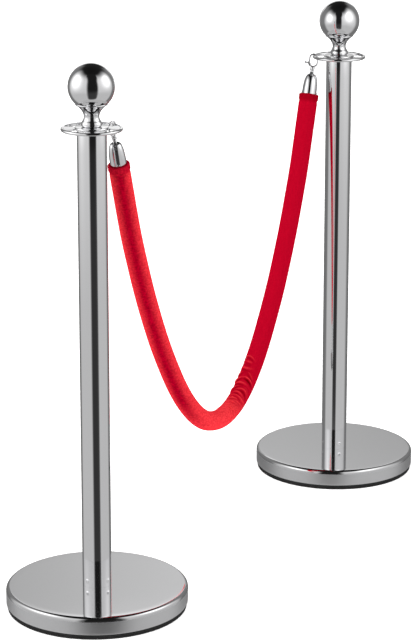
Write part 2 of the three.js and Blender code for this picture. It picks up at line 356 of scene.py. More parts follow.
class Shader:
    """A material's node tree, with short calls for its nodes and links."""

    def __init__(self, name):
        self.material = bpy.data.materials.new(name)
        self.material.use_nodes = True
        self.tree = self.material.node_tree
        self.principled = self.tree.nodes["Principled BSDF"]

    def node(self, kind, inputs=None, **settings):
        made = self.tree.nodes.new(kind)
        for key, value in settings.items():
            setattr(made, key, value)
        for key, value in (inputs or {}).items():
            self.feed(made.inputs[key], value)
        return made

    def feed(self, socket, value):
        if isinstance(value, bpy.types.NodeSocket):
            self.tree.links.new(value, socket)
        else:
            socket.default_value = value

    def set(self, **values):
        for key, value in values.items():
            self.feed(self.principled.inputs[key.replace("_", " ")], value)

    def position(self, scale=(1, 1, 1)):
        coordinates = self.node("ShaderNodeTexCoord")
        mapping = self.node("ShaderNodeMapping", {"Vector": coordinates.outputs["Object"], "Scale": scale})
        return mapping.outputs["Vector"]

    def noise(self, vector, scale, detail, roughness=0.5):
        inputs = {"Vector": vector, "Scale": scale, "Detail": detail, "Roughness": roughness}
        return self.node("ShaderNodeTexNoise", inputs).outputs["Fac"]

    def remap(self, value, low, high, to_low, to_high):
        inputs = {
            "Value": value,
            "From Min": low,
            "From Max": high,
            "To Min": to_low,
            "To Max": to_high,
        }
        return self.node("ShaderNodeMapRange", inputs).outputs["Result"]

    def between(self, noise, low, high):
        """A number that follows a noise from low to high."""
        return self.remap(noise, 0.3, 0.7, low, high)

    def mix(self, factor, first, second):
        made = self.node("ShaderNodeMix", data_type="RGBA")
        self.feed(made.inputs["Factor"], factor)
        self.feed(made.inputs["A"], first)
        self.feed(made.inputs["B"], second)
        return made.outputs["Result"]

    def bump(self, height, strength, distance):
        inputs = {"Height": height, "Strength": strength, "Distance": distance}
        self.set(Normal=self.node("ShaderNodeBump", inputs).outputs["Normal"])


def rgba(colour, gain=1.0):
    """A colour made brighter or darker, as a node's socket takes it."""
    return (*(min(1.0, c * gain) for c in colour), 1.0)


def polished_metal(name, slot, roughness, grain=(1, 1, 1)):
    """Mirror metal with faint polishing marks that change its gloss from place to place."""
    shader = Shader(name)
    marks = shader.noise(shader.position(grain), 900, 3, 0.6)
    clouds = shader.noise(shader.position(), 9, 2)
    gloss = shader.between(clouds, roughness * 0.8, roughness * 1.3)
    shader.set(Metallic=1.0, Base_Color=rgba(COLOUR[slot]), Roughness=gloss)
    shader.bump(marks, 0.02, 0.0002)
    return shader.material


def satin_metal(name, slot, roughness=0.36):
    """Plated or brushed metal with fine scratches."""
    shader = Shader(name)
    scratches = shader.noise(shader.position((1, 1, 14)), 700, 3, 0.6)
    gloss = shader.between(scratches, roughness * 0.8, roughness * 1.2)
    tone = shader.mix(scratches, rgba(COLOUR[slot], 0.9), rgba(COLOUR[slot], 1.06))
    shader.set(Metallic=1.0, Base_Color=tone, Roughness=gloss)
    shader.bump(scratches, 0.08, 0.0002)
    return shader.material


def rubber(name, slot):
    """Matt black rubber with fine pores and a little dust."""
    shader = Shader(name)
    pores = shader.noise(shader.position(), 1600, 2)
    dust = shader.noise(shader.position(), 40, 3)
    tone = shader.mix(dust, rgba(COLOUR[slot], 0.5), rgba(COLOUR[slot], 1.2))
    shader.set(Base_Color=tone, Roughness=shader.between(dust, 0.6, 0.8), Specular_IOR_Level=0.15)
    shader.bump(pores, 0.15, 0.0003)
    return shader.material


def moulded_plastic(name, slot):
    """Plastic with the fine grain of its mould."""
    shader = Shader(name)
    grain = shader.noise(shader.position(), 900, 2)
    shader.set(Base_Color=rgba(COLOUR[slot]), Roughness=shader.between(grain, 0.4, 0.55))
    shader.bump(grain, 0.1, 0.0002)
    return shader.material


def cast_cement(name, slot):
    """Sandy cement with pale and dark stains."""
    shader = Shader(name)
    sand = shader.noise(shader.position(), 500, 4, 0.7)
    stains = shader.noise(shader.position(), 25, 3)
    tone = shader.mix(stains, rgba(COLOUR[slot], 0.75), rgba(COLOUR[slot], 1.15))
    shader.set(Base_Color=tone, Roughness=0.9)
    shader.bump(sand, 0.5, 0.0006)
    return shader.material


# The velvet's tone where its pile lies flat; on the brushed half, a higher tone that paints its sheen; and at the
# hem by each mouth, a darker one.
FLAT_TONE = 0.22
BRUSHED_SHEEN_TONE = 0.8
HEM_TONE = 0.1


def red_velvet(name, slot):
    """Short red pile, with light and shade painted into its colour. The tone attribute runs from 0, deep crimson
    from painted shade in the hollow of a fold, to 1, painted sheen where the pile is brushed up. The other
    attribute says how much of the blotchy colour with painted sheen replaces the plain one."""
    shader = Shader(name)
    red, green, blue = COLOUR[slot]
    tone = shader.node("ShaderNodeAttribute", attribute_name="tone").outputs["Fac"]
    sheen_and_mottle = shader.node("ShaderNodeAttribute", attribute_name="sheen_and_mottle").outputs["Fac"]
    blotches = shader.noise(shader.position((1, 1, 1.5)), 210, 3, 0.7)
    pile = shader.noise(shader.position(), 2400, 2, 0.6)
    patches = shader.remap(blotches, 0.37, 0.63, 0.0, 1.0)
    # The blotchy colours: the deep one for painted shade down the side that faces the camera, the bright one for
    # painted sheen towards the edges.
    deep = shader.mix(patches, (red * 0.36, 0, blue * 0.3, 1), (red * 0.7, 0, blue * 0.56, 1))
    # This pink is a painted highlight: the sheen of the edges and of the fold ridges.
    highlight_red = (red * 1.5, green * 11, blue * 2.1, 1)
    bright = shader.mix(patches, (red * 1.15, green * 5, blue * 1.2, 1), highlight_red)
    # On the flat half, tone below the flat pile's darkens to painted shade in fold hollows and to the darker hem;
    # tone above it lightens to the painted highlight on fold ridges.
    out_of_crease_shade = shader.remap(tone, 0, FLAT_TONE, 0, 1)
    crease_shade_and_hem = shader.mix(out_of_crease_shade, (red * 0.2, 0, 0, 1), (red * 0.62, 0, blue * 0.44, 1))
    raised = shader.remap(tone, FLAT_TONE, 1, 0, 1)
    flat = shader.mix(raised, crease_shade_and_hem, highlight_red)
    # Painted sheen: the bright colour where the tone is high, the deep one where it is low.
    uneven = shader.mix(tone, deep, bright)
    shader.set(
        Base_Color=shader.mix(sheen_and_mottle, flat, uneven),
        Roughness=0.9,
        Sheen_Weight=0.15,
        Sheen_Roughness=0.3,
        Sheen_Tint=(1.0, 0.0, 0.04, 1.0),
        Specular_IOR_Level=0.0,
    )
    shader.bump(pile, 0.35, 0.0006)
    return shader.material


# The materials, by the short names that the pieces use.
LOOKS = {
    "polished": polished_metal("polished_steel", "polished_steel", 0.05, (1, 1, 0.05)),
    "base": polished_metal("base_steel", "base_steel", 0.06),
    "base_side": satin_metal("base_side_steel", "base_steel", 0.42),
    "chromed": polished_metal("chromed_zinc", "chromed_zinc", 0.05),
    "plated": satin_metal("zinc_plate", "zinc_steel"),
    "cement": cast_cement("cast_cement", "cement"),
    "rubber": rubber("black_rubber", "black_rubber"),
    "plastic": moulded_plastic("black_plastic", "black_plastic"),
    "velvet": red_velvet("red_velvet", "red_velvet"),
}


# Rope

# One half of the line that the rope hangs in: distance from the middle of the set, and height.
HALF_ROUTE = [
    (0.051, 0.2253),
    (0.091, 0.246),
    (0.129, 0.277),
    (0.165, 0.3165),
    (0.1985, 0.3615),
    (0.2295, 0.41),
    (0.2585, 0.462),
    (0.2855, 0.5165),
    (0.3105, 0.573),
    (0.333, 0.6305),
    (0.3525, 0.688),
]
ROPE_LOWEST = 0.216
ROPE_RADIUS = 18.5 * MM
ROPE_STEP = 1.5 * MM
ROPE_SIDES = 112
# Points on the axis of each end, from the end of its straight stretch to its mouth, below the hook's origin.
END_POINTS = (-0.115, -0.097, -0.08)
# The radius of an end cap, in millimetres as all of a rope end's own shape.
CAP_RADIUS = 14.5
# How far the rolled hem stands out past the mouth, and how many of the rope's rings it takes the place of.
HEM_REACH = 3 * MM
HEM_RINGS = 3
# The stretch whose cover is folded, in shares of the rope's length.
FOLDED = (0.507, 0.617)
FOLD_SEED = 11


def rope_route():
    """The rope's centreline from mouth to mouth: the CAD route's points, and where it is straight, the axes
    of its two ends."""
    anchors = [Vector(JOINT[f"hook_swivel_{end}"]["pos_m"]) for end in ENDS]
    ups = [Vector(JOINT[f"hook_swivel_{end}"]["axis"]).normalized() for end in ENDS]
    centre = (anchors[0] + anchors[1]) / 2
    along = (anchors[1] - anchors[0]).normalized()

    def hung(distance, height):
        point = centre + along * distance
        return (point.x, point.y, height)

    first = [tuple(anchors[0] + ups[0] * m) for m in reversed(END_POINTS)]
    last = [tuple(anchors[1] + ups[1] * m) for m in END_POINTS]
    left = [hung(-d, z) for d, z in reversed(HALF_ROUTE)]
    right = [hung(d, z) for d, z in HALF_ROUTE]
    return np.array(spline([*first, *left, hung(0, ROPE_LOWEST), *right, *last], 24))


def evenly(points, step):
    """The same line with its points a step apart, and each point's distance along it."""
    lengths = np.concatenate([[0], np.cumsum(np.linalg.norm(np.diff(points, axis=0), axis=1))])
    count = max(2, round(lengths[-1] / step))
    at = np.linspace(0, lengths[-1], count + 1)
    return np.stack([np.interp(at, lengths, points[:, k]) for k in range(3)], 1), at


def ramp(value, low, high):
    """0 below low, 1 above high, and smooth between them."""
    t = np.clip((value - low) / (high - low), 0, 1)
    return t * t * (3 - 2 * t)


def bell(value, centre, width):
    """1 at the centre, and fading to 0 within about two widths of it."""
    return np.exp(-(((value - centre) / width) ** 2))


def folds(distance, angle, length):
    """Cross folds on the inner side of the bend, where the cover is too long for it: each is a hollow with a
    raised ridge beside it, and fades out round the rope."""
    rng = np.random.default_rng(FOLD_SEED)
    depth = np.zeros(np.broadcast(distance, angle).shape)
    first, last = (length * part for part in FOLDED)
    centre = first
    while centre < last:
        share = (centre - first) / (last - first)
        # Folds are lower towards both ends of the stretch, and finer at its start.
        size = (0.45 + 0.6 * math.sin(math.pi * share)) * rng.uniform(0.55, 1.3)
        grown = 0.5 + 0.7 * min(1, 2 * share)
        # Half the width of the hollow and of the ridge, the slant, and the side of the rope with the fold.
        hollow = rng.uniform(2.2, 3.9) * grown * MM
        ridge = rng.uniform(1.1, 2.4) * grown * MM
        lean = rng.uniform(-2, 18) * MM
        side = math.radians(35 - 75 * share) + rng.uniform(-0.4, 0.4)
        waver = np.sin(rng.integers(2, 4) * angle + rng.uniform(0, 6))
        near = distance - centre + lean * (1 - np.cos(angle - side)) + 1.8 * MM * grown * waver
        reach = ramp(np.cos(angle - side), rng.uniform(-0.6, 0.6), 0.97)
        reach = reach * (0.75 + 0.45 * np.sin(rng.integers(2, 5) * angle + rng.uniform(0, 6)))
        shape = 1.8 * bell(near, 0, hollow) - 2.2 * bell(near - hollow, ridge, ridge)
        depth += MM * size * reach * shape
        centre += rng.uniform(6, 15) * grown * MM
    return depth


def pile_painted_light(distance, angle, length, depth):
    """Painted light on the pile, and how much of the mottled colour with painted sheen it takes. The half towards
    post A, whose nap is brushed up, gets painted sheen towards its edges and painted shade down the side that
    faces the camera. The other half lies flat; its folds get painted shade in their hollows and painted highlights
    on their ridges."""
    share = distance / length
    brushed = 1 - ramp(share, 0.5, 0.56)
    # The strip on the brushed half is painted shade down the side of the rope that faces the camera.
    face_on_shade = bell(angle, math.radians(150), math.radians(44)) * (1 - ramp(share, 0.36, 0.47))
    tone = brushed * (BRUSHED_SHEEN_TONE - BRUSHED_SHEEN_TONE * face_on_shade) + FLAT_TONE * (1 - brushed)
    # Painted shade in each fold's hollow, and a painted highlight on its ridge.
    tone = tone - np.where(depth > 0, 0.11, 0.24) * depth / MM * (1 - 0.4 * brushed)
    return np.clip(tone, 0, 1), 0.15 + 0.85 * brushed


def mouth_profile(distance):
    """How the cover's radius changes towards a mouth: a stitched line, then a rolled hem."""
    stitched = -0.7 * MM * bell(distance, 9 * MM, 2.2 * MM)
    rolled = 1.3 * MM * bell(distance, 2 * MM, 4 * MM)
    return stitched + rolled


def hem_rings(ring_at, inner_radius):
    """The rolled edge beyond a mouth's last ring: over the rim and back inside along the end cap."""
    outer = ROPE_RADIUS + 0.9 * MM
    roll = (outer - inner_radius) / 2
    rings = [ring_at(0, outer)]
    for angle in np.linspace(0, math.pi, 10):
        beyond = HEM_REACH + roll * math.sin(angle)
        rings.append(ring_at(-beyond, inner_radius + roll + roll * math.cos(angle)))
    return rings + [ring_at(back * MM, inner_radius) for back in (4, 9, 14)]


def rope_radius(distance, angle, length, depth):
    """The cover's radius: a little uneven, folded, and shaped towards both mouths."""
    uneven = 0.16 * MM * np.sin(distance * 41 + 2 * np.sin(angle) + 1) * np.cos(angle * 2 + distance * 9)
    radius = ROPE_RADIUS + uneven - depth
    return radius + mouth_profile(distance) + mouth_profile(length - distance)


def make_rope():
    """The velvet cover as one skin, folded inwards at both mouths over the end caps."""
    points, at = evenly(rope_route(), ROPE_STEP)
    length = at[-1]
    tangents = directions_along(points)
    side = np.array(Vector(points[-1] - points[0]).cross(Vector((0, 0, 1))).normalized())
    inwards = np.cross(side, tangents)
    angles = np.linspace(0, 2 * math.pi, ROPE_SIDES, endpoint=False)
    distance, angle = at[:, None], angles[None, :]
    depth = folds(distance, angle, length)
    radius = rope_radius(distance, angle, length, depth)

    def ring(i, offset, r):
        spoke = np.outer(np.cos(angles), inwards[i]) + np.outer(np.sin(angles), side)
        return points[i] + tangents[i] * offset + spoke * np.reshape(r, (-1, 1))

    last = len(points) - 1
    body = [ring(i, 0, radius[i]) for i in range(HEM_RINGS, len(points) - HEM_RINGS)]
    cap = CAP_RADIUS * MM + 0.25 * MM
    first_hem = hem_rings(lambda out, r: ring(0, out, np.full(ROPE_SIDES, r)), cap)
    last_hem = hem_rings(lambda out, r: ring(last, -out, np.full(ROPE_SIDES, r)), cap)
    rope = tube_of_rings("velvet_rope", [*reversed(first_hem), *body, *last_hem])

    # The pile's tone and its mottle weight carry its painted sheen, shade and highlights.
    tone, sheen_and_mottle = pile_painted_light(distance, angle, length, depth)
    hem = ramp(np.minimum(distance, length - distance), 5 * MM, 13 * MM)
    tone = HEM_TONE + (tone - HEM_TONE) * hem
    grown = len(first_hem) - HEM_RINGS
    for name, values in (("tone", tone), ("sheen_and_mottle", np.broadcast_to(sheen_and_mottle, tone.shape))):
        write_attribute(rope, name, np.pad(values, ((grown, grown), (0, 0)), "edge"))
    wear(rope, "velvet")
    smooth(rope, 80)
    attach(rope, "rope")
    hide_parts("velvet_sleeve", "foam_core")
    return rope, points


# Posts

BALL_RADIUS = half_width("ball_top_a")
BALL_CENTRE = (heights("ball_top_a")[0] + heights("ball_top_a")[1]) / 2
TUBE_RADIUS = half_width("post_tube_a")
TUBE_LOW, TUBE_HIGH = heights("post_tube_a")
NECK_LOW, NECK_HIGH = heights("neck_a")
RING_RADIUS = half_width("rope_ring_a")
RING_LOW, RING_HIGH = heights("rope_ring_a")
COVER_RADIUS = half_width("base_cover_a")
COVER_LOW, COVER_HIGH = heights("base_cover_a")
RUBBER_RADIUS = half_width("rubber_ring_a")
RUBBER_HIGH = heights("rubber_ring_a")[1]
BEAD_RADIUS = 3.0
BEAD_HEIGHT = RING_LOW + BEAD_RADIUS
HUB_RADIUS = 28.5
STUD_HOLE = 5.3
# Four small crimps near each tube's foot, from their first bearing on.
CRIMP_HEIGHT = 11.0
CRIMP_DEPTH = 1.4
CRIMP_RADIUS = 2.1
CRIMP_START = {"a": math.radians(CAMERA_BEARING - 42), "b": math.radians(CAMERA_BEARING - 70)}


def make_ball(end):
    """A ball with a small flat underneath, hidden in the neck's cup."""
    low = heights("ball_top_a")[0]
    start = -90 + math.degrees(math.acos(min(1, (BALL_CENTRE - low) / BALL_RADIUS)))
    profile = [(0, low), *arc(0, BALL_CENTRE, BALL_RADIUS, start, 90, 96)]
    obj = lathe(f"ball_{end}", profile, 160)
    return finish_piece(obj, post_place(end), "posts", "polished_steel", "polished", f"ball_top_{end}")


def make_neck(end):
    """A spool: rounded foot, waist, and a flared cup with a thin lip under the ball."""
    foot = NECK_LOW
    outside = spline(
        [
            (15.3, foot),
            (16.9, foot + 1.2),
            (17.9, foot + 3.9),
            (17.1, foot + 7.7),
            (14.7, foot + 11.4),
            (13.2, foot + 16.0),
            (13.9, foot + 21.6),
            (17.2, foot + 28.0),
            (22.3, foot + 33.6),
            (27.0, foot + 37.0),
        ],
        8,
    )
    lip_radius = 0.85
    lip = arc(26.9, NECK_HIGH - lip_radius, lip_radius, -70, 110, 8)
    cup_radius = BALL_RADIUS + 0.3
    inner = 24.6
    cup = (inner, BALL_CENTRE - math.sqrt(cup_radius**2 - inner**2))
    obj = lathe(f"neck_{end}", [(0, foot), *outside, *lip, cup, (0, cup[1])], 144)
    return finish_piece(obj, post_place(end), "posts", "polished_steel", "polished", f"neck_{end}")


def slot_tool(bearing):
    """A cutter for one kidney slot with round corners."""
    inner, outer, half_angle, corner, reach = 30.0, 48.2, 26, 3.2, 12
    outline = arc(0, 0, outer, -half_angle, half_angle, 24) + arc(0, 0, inner, half_angle, -half_angle, 16)
    flat = [(x, y, BEAD_HEIGHT - reach) for x, y in outline]
    obj = mesh_object("slot", flat, [list(range(len(flat)))])

    def build(bm):
        sharp = [v for v in bm.verts if len(v.link_edges) == 2 and is_corner(v)]
        bmesh.ops.bevel(bm, geom=sharp, offset=corner, segments=6, profile=0.5, affect="VERTICES")
        thicken(bm, (0, 0, 2 * reach))

    edit(obj, build)
    obj.data.transform(Matrix.Rotation(bearing, 4, "Z"))
    return obj


def is_corner(vertex):
    """Whether the outline turns by more than 40 degrees at a vertex."""
    one, other = (edge.other_vert(vertex).co - vertex.co for edge in vertex.link_edges)
    return one.angle(other) < math.radians(140)


def make_ring(end):
    """A low dish with a beaded rim and four slots, the first centred on the hook."""
    centre = RING_RADIUS - BEAD_RADIUS
    web, join = 2.0, 42
    profile = [
        (STUD_HOLE, BEAD_HEIGHT),
        (HUB_RADIUS - 2.5, BEAD_HEIGHT),
        *arc(centre, BEAD_HEIGHT, BEAD_RADIUS, join - 180, 180 - join, 28),
        (HUB_RADIUS + 0.6, BEAD_HEIGHT + web),
        *arc(HUB_RADIUS - 1.0, RING_HIGH - 1.0, 1.0, 0, 90, 6),
        (STUD_HOLE, RING_HIGH),
        (STUD_HOLE, BEAD_HEIGHT),
    ]
    obj = lathe(f"rope_ring_{end}", profile, 192)
    hook = Vector(JOINT[f"hook_swivel_{end}"]["pos_m"]) - post_axis(end)
    bearing = math.atan2(hook.y, hook.x)
    carve(obj, *(slot_tool(bearing + i * math.pi / 2) for i in range(4)))
    round_edges(obj, 0.5, 3, 50)
    return finish_piece(obj, post_place(end), "posts", "polished_steel", "polished", f"rope_ring_{end}")


def make_tube(end):
    """A thin-walled tube with a softened top edge and four small crimps near its foot, down on the cover."""
    wall, edge, low = 1.5, 0.5, TUBE_LOW - 0.25
    count = 240
    angles = np.linspace(0, 2 * math.pi, count, endpoint=False)
    foot = np.linspace(low, TUBE_LOW + 30, 70)
    levels = np.concatenate([foot, np.linspace(TUBE_LOW + 40, TUBE_HIGH - edge, 24)])
    crimp_bearings = [CRIMP_START[end] + math.pi / 2 * i for i in range(4)]

    def ring(radius, height, crimped=True):
        r = np.full(count, radius)
        if crimped:
            for bearing in crimp_bearings:
                turn = (angles - bearing + math.pi) % (2 * math.pi) - math.pi
                away = np.hypot(turn * TUBE_RADIUS, height - TUBE_LOW - CRIMP_HEIGHT)
                r = r - CRIMP_DEPTH * bell(away, 0, CRIMP_RADIUS)
        return np.column_stack([r * np.cos(angles), r * np.sin(angles), np.full(count, height)])

    outside = [ring(TUBE_RADIUS, z) for z in levels]
    rim = [ring(r, z, False) for r, z in arc(TUBE_RADIUS - edge, TUBE_HIGH - edge, edge, 0, 90, 5)[1:]]
    inside = [ring(TUBE_RADIUS - wall, z, False) for z in (TUBE_HIGH, low)]
    obj = tube_of_rings(f"tube_{end}", [*outside, *rim, *inside, outside[0]])
    return finish_piece(obj, post_place(end), "posts", "polished_steel", "polished", f"post_tube_{end}")


def make_plug(end):
    low, high = heights(f"top_plug_{end}")
    obj = washer(f"top_plug_{end}_fine", STUD_HOLE, TUBE_RADIUS, TUBE_HIGH + 0.3, high, 0.6, 128)
    skirt = washer("skirt", STUD_HOLE, TUBE_RADIUS - 1.8, low, TUBE_HIGH + 1)
    weld(obj, skirt)
    return finish_piece(obj, post_place(end), "posts", "zinc_steel", "polished", f"top_plug_{end}")


def make_cover(end):
    """A spun steel shell: flat polished top, rolled edge, and a satin side wall."""
    roll, sheet = 7.5, 1.5
    centre = (COVER_RADIUS - roll, COVER_HIGH - roll)
    hole = 5.5
    profile = [
        (COVER_RADIUS - 2.6, COVER_LOW + 0.3),
        *arc(COVER_RADIUS - 1.3, COVER_LOW + 1.1, 1.1, -120, 0, 6),
        (COVER_RADIUS - 0.1, COVER_LOW + 5),
        *arc(*centre, roll, 0, 90, 20),
        (COVER_RADIUS - 20, COVER_HIGH),
        (TUBE_RADIUS + 6, COVER_HIGH),
        (hole, COVER_HIGH),
        (hole, COVER_HIGH - sheet),
        *arc(*centre, roll - sheet, 90, 0, 10),
        (COVER_RADIUS - sheet - 0.1, COVER_LOW + 4),
        (COVER_RADIUS - 2.6, COVER_LOW + 0.3),
    ]
    obj = lathe(f"base_cover_{end}", profile, 256)
    finish_piece(obj, post_place(end), "posts", "base_steel", "base", f"base_cover_{end}")
    obj.data.materials.append(LOOKS["base_side"])
    upright = 0.12
    for polygon in obj.data.polygons:
        is_side = abs(polygon.normal.z) < upright and polygon.center.z < (COVER_HIGH - roll) * MM
        polygon.material_index = 1 if is_side else 0
    return obj


def make_rubber(end):
    """The floor ring: a moulded profile with a groove round its outer wall."""
    groove, half_groove = RUBBER_HIGH * 0.45, 0.8
    foot, shoulder, edge = 1.2, 0.6, 0.8
    outside = [
        *arc(RUBBER_RADIUS - foot, foot, foot, -90, 0, 5),
        (RUBBER_RADIUS, groove - half_groove),
        (RUBBER_RADIUS - 0.7, groove),
        (RUBBER_RADIUS, groove + half_groove),
        *arc(RUBBER_RADIUS - shoulder, RUBBER_HIGH - shoulder, shoulder, 0, 90, 4),
    ]
    corner = 120.0 + edge
    inside = [*arc(corner, RUBBER_HIGH - edge, edge, 90, 180, 3), *arc(corner, edge, edge, 180, 270, 3)]
    obj = lathe(f"rubber_ring_{end}", [*outside, *inside, outside[0]], 192)
    return finish_piece(obj, post_place(end), "posts", "black_rubber", "rubber", f"rubber_ring_{end}")


# Rope ends, each about the axis of its hook, from the hook's origin on the ring's bead

CLEVIS_HEIGHT = -37.5
RIVET_HEIGHT = -72.0
PIVOT = (7.9, -13.2)
WIRE_RADIUS = 1.7
SPRING_WIRE_RADIUS = 0.25


def make_cap(end):
    """A bullet cap: a slotted dome on a straight skirt that runs into the rope's mouth."""
    skirt_end, bore, bore_end = -110.0, CAP_RADIUS - 1.8, -48
    dome = spline(
        [
            (CAP_RADIUS, -72),
            (14.3, -62),
            (13.5, -52),
            (12.4, -45),
            (10.6, -39.2),
            (8.3, -35.8),
            (4.6, -33.9),
            (0, -33.5),
        ],
        8,
    )
    profile = [(0, bore_end), (bore, bore_end), (bore, skirt_end), (CAP_RADIUS, skirt_end), *dome]
    obj = lathe(f"end_cap_{end}", profile, 112)
    slot = slab("slot", rounded_bar(-40, -20, 40, -20, 23.5, 4), -3, 3)
    clevis_hole = pin("hole", 2.3, -30, 30, ALONG_Y, (0, 0, CLEVIS_HEIGHT))
    rivet_hole = pin("hole", 1.8, -30, 30, ALONG_X, (0, 0, RIVET_HEIGHT))
    carve(obj, slot, clevis_hole, rivet_hole)
    round_edges(obj, 0.45, 3, 40)
    return finish_piece(obj, cap_place(end), "rope", "chromed_zinc", "chromed", f"end_cap_{end}")


def make_rivet(end):
    head = CAP_RADIUS + 0.9
    dome = [(2.4, CAP_RADIUS + 0.1), (2.2, CAP_RADIUS + 0.5), (1.5, head - 0.1), (0, head)]
    lower = [(r, -z) for r, z in reversed(dome)]
    obj = lathe(f"cap_rivet_{end}", [*lower, (1.5, -CAP_RADIUS), (1.5, CAP_RADIUS), *dome], 40)
    obj.data.transform(Matrix.Translation((0, 0, RIVET_HEIGHT)) @ ALONG_X)
    return finish_piece(obj, cap_place(end), "rope", "zinc_steel", "polished", f"cap_rivet_{end}")


def make_clevis_pin(end):
    obj = pin(f"clevis_pin_{end}", 2.0, -8.6, 8.6, ALONG_Y, (0, 0, CLEVIS_HEIGHT), 40, 0.5)
    return finish_piece(obj, cap_place(end), "rope", "zinc_steel", "polished", f"clevis_pin_{end}")


def make_swivel_stud(end):
    """A headed stud with a flat round eye that sits in the cap's slot."""
    head = [
        (0, -31.5),
        *arc(3.1, -30.5, 0.5, -90, 0, 4),
        *arc(3.1, -28.7, 0.5, 0, 90, 4),
        (1.9, -28.2),
        (1.9, -25.4),
        (3.0, -25.4),
        (3.0, -22.5),
        (0, -22.3),
    ]
    obj = lathe(f"swivel_stud_{end}", head, 64)
    eye = slab("eye", rounded_bar(0, CLEVIS_HEIGHT, 0, -33.5, 4.5, 24), -2.5, 2.5)
    round_edges(eye, 0.7, 4, 60)
    carve(eye, pin("hole", 2.2, -10, 10, ALONG_Y, (0, 0, CLEVIS_HEIGHT)))
    weld(obj, eye)
    return finish_piece(obj, cap_place(end), "rope", "chromed_zinc", "chromed", f"swivel_stud_{end}")


def hook_path():
    """The wire loop's line: from the nose over the bead and round to the gate's lug."""
    radius, top, bottom, nose = 8.0, -2.8, -11.5, -6.6
    points = [
        (radius, nose),
        *arc(0, top, radius, 0, 180, 7),
        (-radius, (top + bottom) / 2),
        *arc(0, bottom, radius, 180, 320, 5),
    ]
    return [(x, 0, z) for x, z in spline(points, 7)]


def make_hook(end):
    """A cast loop on a swivel barrel, with a forked lug for the gate."""
    path = hook_path()
    # The wire starts in a round nose, and its tail closes inside the lug.
    nose = [(path[0][0], 0, path[0][2] - d) for d in (1.5, 1.4, 1.1, 0.6)]
    radii = [0, 0.75, 1.35, 1.75] + [WIRE_RADIUS] * len(path)
    tail = tuple(1.2 * a - 0.2 * b for a, b in zip(path[-1], path[-2]))
    obj = sweep(f"snap_hook_{end}", [*nose, *path, tail], [*radii, 0], 32)
    barrel = lathe(
        "barrel",
        [
            (0, -22),
            (3.4, -22),
            (3.4, -25.8),
            (2.3, -25.8),
            (2.3, -27.6),
            *arc(3.9, -27.1, 0.5, -90, 0, 4),
            *spline([(4.4, -26.4), (4.15, -25.2), (4.4, -23.8), (4.35, -21.5), (3.7, -19.6)], 5),
            *arc(0, -21.8, 3.6, 40, 90, 6),
        ],
        64,
    )
    lug = slab("lug", rounded_bar(5.4, -17, *PIVOT, 2.4, 12), -3.2, 3.2)
    round_edges(lug, 0.7, 3, 60)
    fork = slab("fork", [(2, -15.3), (14, -15.3), (14, -8), (2, -8)], -2.1, 2.1)
    weld(obj, lug)
    carve(obj, fork, pin("hole", 1.0, -6, 6, ALONG_Y, (PIVOT[0], 0, PIVOT[1])))
    weld(obj, barrel)
    return finish_piece(obj, hook_place(end), f"hook_{end}", "chromed_zinc", "chromed", f"snap_hook_{end}")


def make_gate(end):
    """The gate lever: a flat blade that closes on the nose, and a tab with a round knob. The joined parts are
    a hair thinner than the blade, so none of their faces lie in its faces."""
    x, z = PIVOT
    obj = slab(f"gate_lever_{end}", rounded_bar(x, z, x, z + 4.8, 1.5), -1.8, 0)
    heel = slab("heel", arc(x, z, 2, 0, 350, 35), -1.79, -0.01)
    tab = slab("tab", rounded_bar(x + 1, z + 1.2, x + 7, z + 0.5, 1.3), -1.78, -0.02)
    knob = lathe("knob", [(0, -2.3), *arc(0, 0, 2.3, -80, 80, 20), (0, 2.3)], 40)
    knob.data.transform(Matrix.Translation((x + 7.4, -0.9, z + 0.5)))
    weld(obj, heel, tab)
    round_edges(obj, 0.35, 3, 50)
    weld(obj, knob)
    carve(obj, pin("hole", 0.95, -6, 6, ALONG_Y, (x, 0, z)))
    return finish_piece(obj, hook_place(end), f"gate_{end}", "chromed_zinc", "chromed", f"gate_lever_{end}")


def make_gate_pin(end):
    obj = pin(f"gate_pin_{end}", 0.8, -3.2, 3.2, ALONG_Y, (PIVOT[0], 0, PIVOT[1]), 24, 0.2)
    return finish_piece(obj, hook_place(end), f"hook_{end}", "zinc_steel", "polished", f"gate_pin_{end}")


def make_gate_spring(end):
    """Two turns of wire round the gate's pin."""
    turns = np.linspace(0, 4 * math.pi, 97)
    x, z = PIVOT
    coil = 1.5
    path = [(x + coil * math.cos(t), 0.5 + 0.6 * t / math.pi, z + coil * math.sin(t)) for t in turns]
    radii = [0, *([SPRING_WIRE_RADIUS] * (len(path) - 2)), 0]
    obj = sweep(f"gate_spring_{end}", path, radii, 10)
    return finish_piece(obj, hook_place(end), f"hook_{end}", "zinc_steel", "plated", f"gate_spring_{end}")


# Studio


def studio_axes():
    """Level directions as seen from the camera towards post A: to the right, and away."""
    away = post_axis("a") - scene.camera.location
    away.z = 0
    away.normalize()
    return away.cross(Vector((0, 0, 1))), away


def only_reflected(obj):
    """The object shows in reflections and nowhere else."""
    obj.visible_camera = False
    obj.visible_diffuse = False
    obj.visible_shadow = False
    obj.visible_transmission = False


def screen_material():
    """A sheet that glows as its glow attribute says, and is clear where its cover attribute is 0."""
    material = bpy.data.materials.new("screen")
    material.use_nodes = True
    tree = material.node_tree
    tree.nodes.clear()
    glow, cover = (tree.nodes.new("ShaderNodeAttribute") for _ in range(2))
    glow.attribute_name, cover.attribute_name = "glow", "cover"
    clear = tree.nodes.new("ShaderNodeBsdfTransparent")
    light = tree.nodes.new("ShaderNodeEmission")
    mix = tree.nodes.new("ShaderNodeMixShader")
    output = tree.nodes.new("ShaderNodeOutputMaterial")
    tree.links.new(glow.outputs["Fac"], light.inputs["Strength"])
    tree.links.new(cover.outputs["Fac"], mix.inputs["Fac"])
    tree.links.new(clear.outputs["BSDF"], mix.inputs[1])
    tree.links.new(light.outputs["Emission"], mix.inputs[2])
    tree.links.new(mix.outputs["Shader"], output.inputs["Surface"])
    return material


